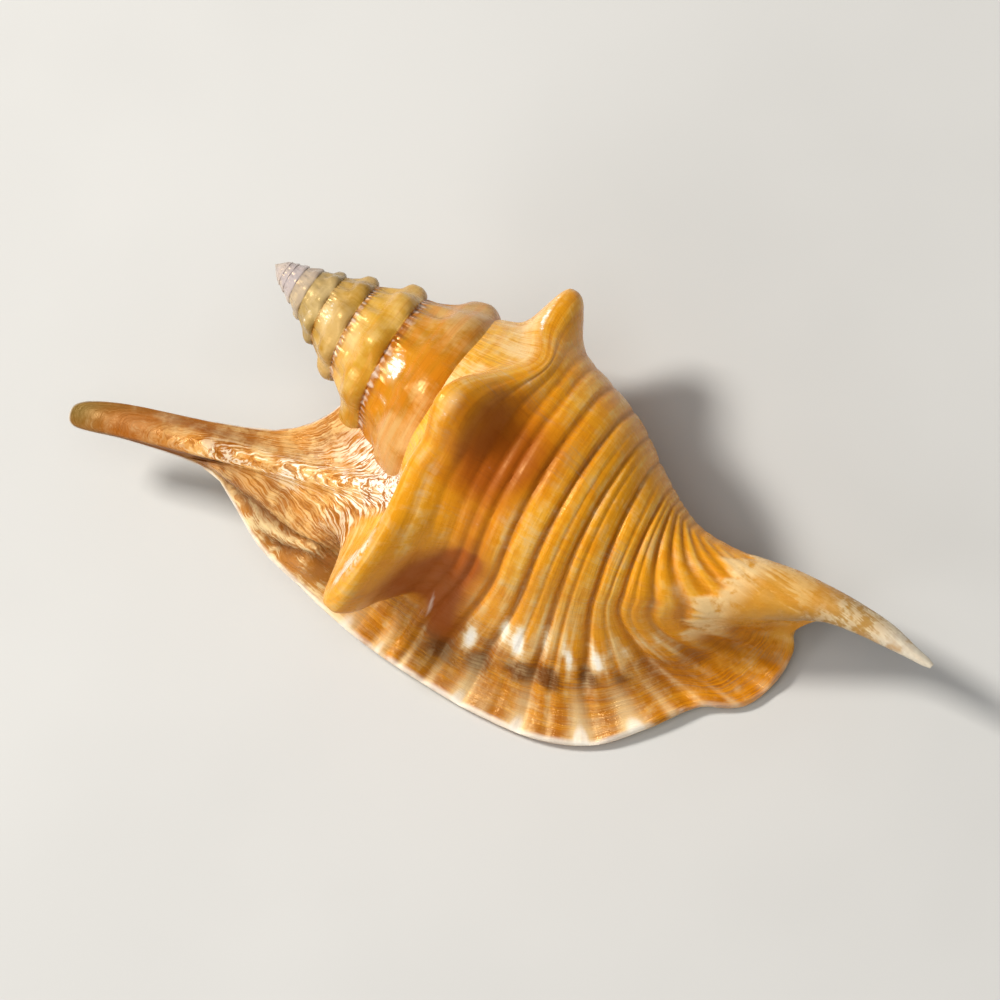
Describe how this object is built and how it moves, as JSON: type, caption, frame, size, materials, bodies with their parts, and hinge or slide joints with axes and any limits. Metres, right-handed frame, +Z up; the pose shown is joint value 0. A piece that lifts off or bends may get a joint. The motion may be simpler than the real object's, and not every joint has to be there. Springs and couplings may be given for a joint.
{
  "type": "rooster conch shell",
  "caption": "Empty rooster conch sea shell: stepped spire with small knobs, ribbed body whorl with large knobs, flared lip drawn out into a long finger, open aperture below.",
  "frame": {"origin": "middle of the shell's footprint on the surface it rests on", "axes": "+X towards the canal's tip, the spire and the finger towards -X, the lip's edge towards -Y, +Z up out of the back"},
  "size_m": [0.1472, 0.0682, 0.0484],
  "materials": {
    "shell": "glossy"
  },
  "bodies": {
    "root": {"shell": "shell"}
  },
  "joints": []
}
